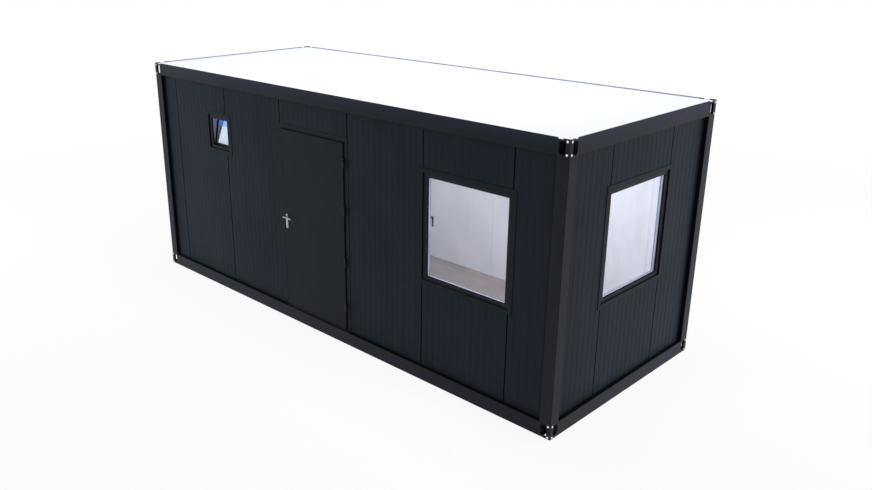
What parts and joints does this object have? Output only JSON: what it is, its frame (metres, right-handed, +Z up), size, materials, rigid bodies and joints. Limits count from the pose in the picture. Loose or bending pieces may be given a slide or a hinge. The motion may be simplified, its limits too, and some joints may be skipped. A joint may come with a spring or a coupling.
{
  "type": "shipping container cabin",
  "caption": "Flat-roofed steel-framed cabin with grooved wall panels, corner lifting fittings, a door, two large windows and a small tipped one.",
  "frame": {"origin": "middle of the cabin's plan at ground level, on the underside of the middle floor joist", "axes": "+X along the long front wall to the right as seen from outside, +Y from the front wall to the back, +Z up"},
  "size_m": [6, 2.435, 2.6],
  "materials": {
    "frame_paint": "satin",
    "galvanised": "dull",
    "floor_boards": "matt",
    "inner_white": "matt",
    "roof_white": "satin",
    "wall_panel": "satin",
    "black_seal": "matt",
    "trim_paint": "satin",
    "window_profile": "satin",
    "window_glass": "clear",
    "threshold_metal": "dull",
    "door_paint": "satin",
    "hinge_paint": "satin",
    "handle_metal": "brushed"
  },
  "bodies": {
    "cabin": {"bottom_rail_front": "frame_paint", "bottom_rail_right": "frame_paint", "bottom_rail_back": "frame_paint", "bottom_rail_left": "frame_paint", "top_rail_front": "frame_paint", "top_rail_right": "frame_paint", "top_rail_back": "frame_paint", "top_rail_left": "frame_paint", "post_front_left": "frame_paint", "post_front_right": "frame_paint", "post_back_right": "frame_paint", "post_back_left": "frame_paint", "corner_fittings_front_left": "frame_paint", "corner_fittings_front_right": "frame_paint", "corner_fittings_back_right": "frame_paint", "corner_fittings_back_left": "frame_paint", "floor_joists": "galvanised", "floor_pan": "galvanised", "floor_deck": "floor_boards", "ceiling_panel": "inner_white", "window_sashes": "inner_white", "roof_sheet": "roof_white", "front_panels_left": "wall_panel", "front_panel_over_door": "wall_panel", "front_panels_right": "wall_panel", "right_panels": "wall_panel", "left_panels": "wall_panel", "back_panels": "wall_panel", "recess_seals": "black_seal", "window_trims": "trim_paint", "door_frame_left": "trim_paint", "door_frame_right": "trim_paint", "door_frame_head": "trim_paint", "window_frames": "window_profile", "small_window_frame": "window_profile", "small_window_sash": "window_profile", "window_handles": "window_profile", "window_panes": "window_glass", "door_threshold": "threshold_metal", "door_hinges_fixed": "hinge_paint"},
    "door": {"door_leaf": "door_paint", "door_hinges_leaf": "hinge_paint", "lock_plates": "handle_metal"},
    "lever": {"door_lever": "handle_metal"}
  },
  "joints": [
    {"name": "door_swing", "type": "hinge", "parent": "cabin", "child": "door", "pos_m": [0.405, -1.186, 1.148], "axis": [0, 0, 1], "range_deg": [0, 110]},
    {"name": "lever_turn", "type": "hinge", "parent": "door", "child": "lever", "pos_m": [-0.529, -1.1555, 1.191], "axis": [0, 1, 0], "range_deg": [0, 45], "stiffness_Nm_per_rad": 1, "springref_deg": -34.38}
  ]
}
